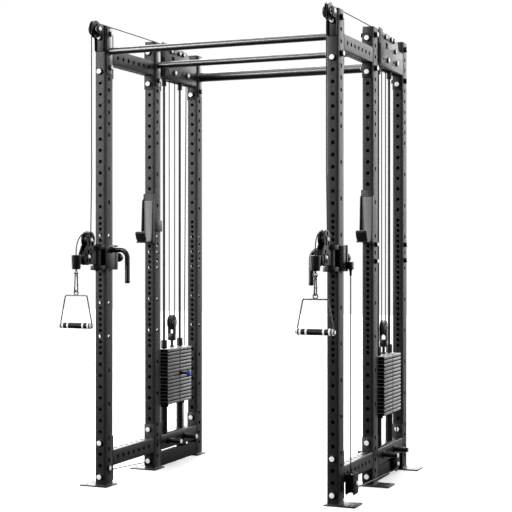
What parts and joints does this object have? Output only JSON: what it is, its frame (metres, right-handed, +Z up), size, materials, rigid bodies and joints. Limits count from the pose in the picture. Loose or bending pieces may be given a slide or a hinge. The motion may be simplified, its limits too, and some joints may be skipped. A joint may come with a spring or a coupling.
{
  "type": "cable crossover machine",
  "caption": "Six-post black steel rack with two cable columns, height-adjustable swivel pulleys, grey weight stacks, stirrup handles and bar holders.",
  "frame": {"origin": "centre of the footprint on the floor", "axes": "+Z up, the handles face -Y, X runs from the left column to the right one"},
  "size_m": [1.292, 1.2583, 2.0635],
  "materials": {
    "black_powder_coat": "textured matte black powder coat",
    "black_rubber": "moulded black rubber",
    "black_plastic": "satin black nylon",
    "chrome": "bright plated steel",
    "grey_stack_paint": "grey painted iron",
    "cable_sheath": "grey sheath over steel rope",
    "blue_plastic": "blue cap"
  },
  "bodies": {
    "frame": {"front_cross_bar": "black_powder_coat", "middle_cross_bar": "black_powder_coat", "rear_cross_bar": "black_powder_coat", "right_front_upright": "black_powder_coat", "right_middle_upright": "black_powder_coat", "right_rear_upright": "black_powder_coat", "right_lower_front_beam": "black_powder_coat", "right_upper_front_beam": "black_powder_coat", "right_lower_rear_beam": "black_powder_coat", "right_upper_rear_beam": "black_powder_coat", "right_top_pulley_bracket": "black_powder_coat", "right_guide_rods": "black_powder_coat", "right_resting_plates": "grey_stack_paint", "right_cable": "cable_sheath", "left_front_upright": "black_powder_coat", "left_middle_upright": "black_powder_coat", "left_rear_upright": "black_powder_coat", "left_lower_front_beam": "black_powder_coat", "left_upper_front_beam": "black_powder_coat", "left_lower_rear_beam": "black_powder_coat", "left_upper_rear_beam": "black_powder_coat", "left_top_pulley_bracket": "black_powder_coat", "left_guide_rods": "black_powder_coat", "left_resting_plates": "grey_stack_paint", "left_cable": "cable_sheath"},
    "right_trolley": {"right_carriage": "black_powder_coat"},
    "right_pin": {"right_pop_pin": "black_plastic"},
    "right_pulley_block": {"right_swivel_arm": "black_powder_coat"},
    "right_upper_wheel": {"right_upper_trolley_wheel": "black_plastic"},
    "right_lower_wheel": {"right_lower_trolley_wheel": "black_plastic"},
    "right_stack": {"right_selected_plates": "grey_stack_paint"},
    "right_selector": {"right_selector_pin": "blue_plastic"},
    "right_stack_wheel": {"right_lift_wheel": "black_plastic"},
    "right_cable_end": {"right_cable_stop": "black_rubber"},
    "right_snap_hook": {"right_carabiner": "chrome"},
    "right_handle": {"right_pull_handle": "black_rubber"},
    "right_bar_holder": {"right_j_cup": "black_powder_coat"},
    "right_front_top_wheel": {"right_top_front_wheel": "black_plastic"},
    "right_rear_top_wheel": {"right_top_rear_wheel": "black_plastic"},
    "right_big_top_wheel": {"right_return_wheel": "black_plastic"},
    "right_front_base_wheel": {"right_base_front_wheel": "black_plastic"},
    "right_rear_base_wheel": {"right_base_rear_wheel": "black_plastic"},
    "left_trolley": {"left_carriage": "black_powder_coat"},
    "left_pin": {"left_pop_pin": "black_plastic"},
    "left_pulley_block": {"left_swivel_arm": "black_powder_coat"},
    "left_upper_wheel": {"left_upper_trolley_wheel": "black_plastic"},
    "left_lower_wheel": {"left_lower_trolley_wheel": "black_plastic"},
    "left_stack": {"left_selected_plates": "grey_stack_paint"},
    "left_selector": {"left_selector_pin": "blue_plastic"},
    "left_stack_wheel": {"left_lift_wheel": "black_plastic"},
    "left_cable_end": {"left_cable_stop": "black_rubber"},
    "left_snap_hook": {"left_carabiner": "chrome"},
    "left_handle": {"left_pull_handle": "black_rubber"},
    "left_bar_holder": {"left_j_cup": "black_powder_coat"},
    "left_front_top_wheel": {"left_top_front_wheel": "black_plastic"},
    "left_rear_top_wheel": {"left_top_rear_wheel": "black_plastic"},
    "left_big_top_wheel": {"left_return_wheel": "black_plastic"},
    "left_front_base_wheel": {"left_base_front_wheel": "black_plastic"},
    "left_rear_base_wheel": {"left_base_rear_wheel": "black_plastic"}
  },
  "joints": [
    {"name": "right_stack_lift", "type": "slide", "parent": "frame", "child": "right_stack", "axis": [0, 0, 1], "range_m": [0, 0.3], "deforming": ["right_cable"]},
    {"name": "right_lift_wheel_turn", "type": "hinge", "parent": "right_stack", "child": "right_stack_wheel", "pos_m": [0.546, 0.31, 0.693], "axis": [1, 0, 0], "range_deg": [-600, 15]},
    {"name": "right_rear_top_wheel_turn", "type": "hinge", "parent": "frame", "child": "right_rear_top_wheel", "pos_m": [0.546, 0.25, 2.026], "axis": [1, 0, 0], "range_deg": [-15, 1160]},
    {"name": "right_front_top_wheel_turn", "type": "hinge", "parent": "frame", "child": "right_front_top_wheel", "pos_m": [0.546, -0.447, 2.026], "axis": [1, 0, 0], "range_deg": [-15, 1160]},
    {"name": "right_upper_wheel_turn", "type": "hinge", "parent": "right_pulley_block", "child": "right_upper_wheel", "pos_m": [0.546, -0.507, 1.097], "axis": [1, 0, 0], "range_deg": [-15, 1160]},
    {"name": "right_lower_wheel_turn", "type": "hinge", "parent": "right_pulley_block", "child": "right_lower_wheel", "pos_m": [0.546, -0.529, 1.024], "axis": [1, 0, 0], "range_deg": [-1160, 15]},
    {"name": "right_big_top_wheel_turn", "type": "hinge", "parent": "frame", "child": "right_big_top_wheel", "pos_m": [0.546, 0.406, 1.98], "axis": [1, 0, 0], "continuous": true},
    {"name": "right_front_base_wheel_turn", "type": "hinge", "parent": "frame", "child": "right_front_base_wheel", "pos_m": [0.589, -0.276, 0.079], "axis": [1, 0, 0], "continuous": true},
    {"name": "right_rear_base_wheel_turn", "type": "hinge", "parent": "frame", "child": "right_rear_base_wheel", "pos_m": [0.561, 0.442, 0.0455], "axis": [1, 0, 0], "continuous": true},
    {"name": "right_trolley_slide", "type": "slide", "parent": "frame", "child": "right_trolley", "axis": [0, 0, 1], "range_m": [-0.6, 0.6]},
    {"name": "right_pin_pull", "type": "slide", "parent": "right_trolley", "child": "right_pin", "axis": [0, 1, 0], "range_m": [0, 0.02], "stiffness_N_per_m": 300},
    {"name": "right_block_swivel", "type": "hinge", "parent": "right_trolley", "child": "right_pulley_block", "pos_m": [0.546, -0.431, 1.024], "axis": [0, 0, 1], "range_deg": [-80, 80]},
    {"name": "right_cable_pull", "type": "slide", "parent": "right_pulley_block", "child": "right_cable_end", "axis": [0, 0, -1], "range_m": [0, 0.6]},
    {"name": "right_hook_swing", "type": "hinge", "parent": "right_cable_end", "child": "right_snap_hook", "pos_m": [0.546, -0.608, 0.953], "axis": [1, 0, 0], "range_deg": [-15, 15]},
    {"name": "right_handle_swing", "type": "hinge", "parent": "right_snap_hook", "child": "right_handle", "pos_m": [0.546, -0.608, 0.8725], "axis": [0, 1, 0], "range_deg": [-40, 40]},
    {"name": "right_selector_pull", "type": "slide", "parent": "right_stack", "child": "right_selector", "axis": [-1, 0, 0], "range_m": [0, 0.06]},
    {"name": "right_bar_holder_lift_off", "type": "slide", "parent": "frame", "child": "right_bar_holder", "axis": [0, -1, 0], "range_m": [0, 0.03]},
    {"name": "left_stack_lift", "type": "slide", "parent": "frame", "child": "left_stack", "axis": [0, 0, 1], "range_m": [0, 0.3], "deforming": ["left_cable"]},
    {"name": "left_lift_wheel_turn", "type": "hinge", "parent": "left_stack", "child": "left_stack_wheel", "pos_m": [-0.546, 0.31, 0.693], "axis": [1, 0, 0], "range_deg": [-600, 15]},
    {"name": "left_rear_top_wheel_turn", "type": "hinge", "parent": "frame", "child": "left_rear_top_wheel", "pos_m": [-0.546, 0.25, 2.026], "axis": [1, 0, 0], "range_deg": [-15, 1160]},
    {"name": "left_front_top_wheel_turn", "type": "hinge", "parent": "frame", "child": "left_front_top_wheel", "pos_m": [-0.546, -0.447, 2.026], "axis": [1, 0, 0], "range_deg": [-15, 1160]},
    {"name": "left_upper_wheel_turn", "type": "hinge", "parent": "left_pulley_block", "child": "left_upper_wheel", "pos_m": [-0.546, -0.507, 1.097], "axis": [1, 0, 0], "range_deg": [-15, 1160]},
    {"name": "left_lower_wheel_turn", "type": "hinge", "parent": "left_pulley_block", "child": "left_lower_wheel", "pos_m": [-0.546, -0.529, 1.024], "axis": [1, 0, 0], "range_deg": [-1160, 15]},
    {"name": "left_big_top_wheel_turn", "type": "hinge", "parent": "frame", "child": "left_big_top_wheel", "pos_m": [-0.546, 0.406, 1.98], "axis": [1, 0, 0], "continuous": true},
    {"name": "left_front_base_wheel_turn", "type": "hinge", "parent": "frame", "child": "left_front_base_wheel", "pos_m": [-0.589, -0.276, 0.079], "axis": [1, 0, 0], "continuous": true},
    {"name": "left_rear_base_wheel_turn", "type": "hinge", "parent": "frame", "child": "left_rear_base_wheel", "pos_m": [-0.561, 0.442, 0.0455], "axis": [1, 0, 0], "continuous": true},
    {"name": "left_trolley_slide", "type": "slide", "parent": "frame", "child": "left_trolley", "axis": [0, 0, 1], "range_m": [-0.6, 0.6]},
    {"name": "left_pin_pull", "type": "slide", "parent": "left_trolley", "child": "left_pin", "axis": [0, 1, 0], "range_m": [0, 0.02], "stiffness_N_per_m": 300},
    {"name": "left_block_swivel", "type": "hinge", "parent": "left_trolley", "child": "left_pulley_block", "pos_m": [-0.546, -0.431, 1.024], "axis": [0, 0, 1], "range_deg": [-80, 80]},
    {"name": "left_cable_pull", "type": "slide", "parent": "left_pulley_block", "child": "left_cable_end", "axis": [0, 0, -1], "range_m": [0, 0.6]},
    {"name": "left_hook_swing", "type": "hinge", "parent": "left_cable_end", "child": "left_snap_hook", "pos_m": [-0.546, -0.608, 0.953], "axis": [1, 0, 0], "range_deg": [-15, 15]},
    {"name": "left_handle_swing", "type": "hinge", "parent": "left_snap_hook", "child": "left_handle", "pos_m": [-0.546, -0.608, 0.8725], "axis": [0, 1, 0], "range_deg": [-40, 40]},
    {"name": "left_selector_pull", "type": "slide", "parent": "left_stack", "child": "left_selector", "axis": [1, 0, 0], "range_m": [0, 0.06]},
    {"name": "left_bar_holder_lift_off", "type": "slide", "parent": "frame", "child": "left_bar_holder", "axis": [0, -1, 0], "range_m": [0, 0.03]}
  ],
  "couplings": [
    {"joint": "right_rear_top_wheel_turn", "follows": "right_stack_lift", "rad_per_m": 66.667},
    {"joint": "right_front_top_wheel_turn", "follows": "right_stack_lift", "rad_per_m": 66.667},
    {"joint": "right_upper_wheel_turn", "follows": "right_stack_lift", "rad_per_m": 66.667},
    {"joint": "right_lower_wheel_turn", "follows": "right_stack_lift", "rad_per_m": -66.667},
    {"joint": "right_lift_wheel_turn", "follows": "right_stack_lift", "rad_per_m": -33.333},
    {"joint": "right_cable_pull", "follows": "right_stack_lift", "ratio": 2},
    {"joint": "left_rear_top_wheel_turn", "follows": "left_stack_lift", "rad_per_m": 66.667},
    {"joint": "left_front_top_wheel_turn", "follows": "left_stack_lift", "rad_per_m": 66.667},
    {"joint": "left_upper_wheel_turn", "follows": "left_stack_lift", "rad_per_m": 66.667},
    {"joint": "left_lower_wheel_turn", "follows": "left_stack_lift", "rad_per_m": -66.667},
    {"joint": "left_lift_wheel_turn", "follows": "left_stack_lift", "rad_per_m": -33.333},
    {"joint": "left_cable_pull", "follows": "left_stack_lift", "ratio": 2}
  ]
}
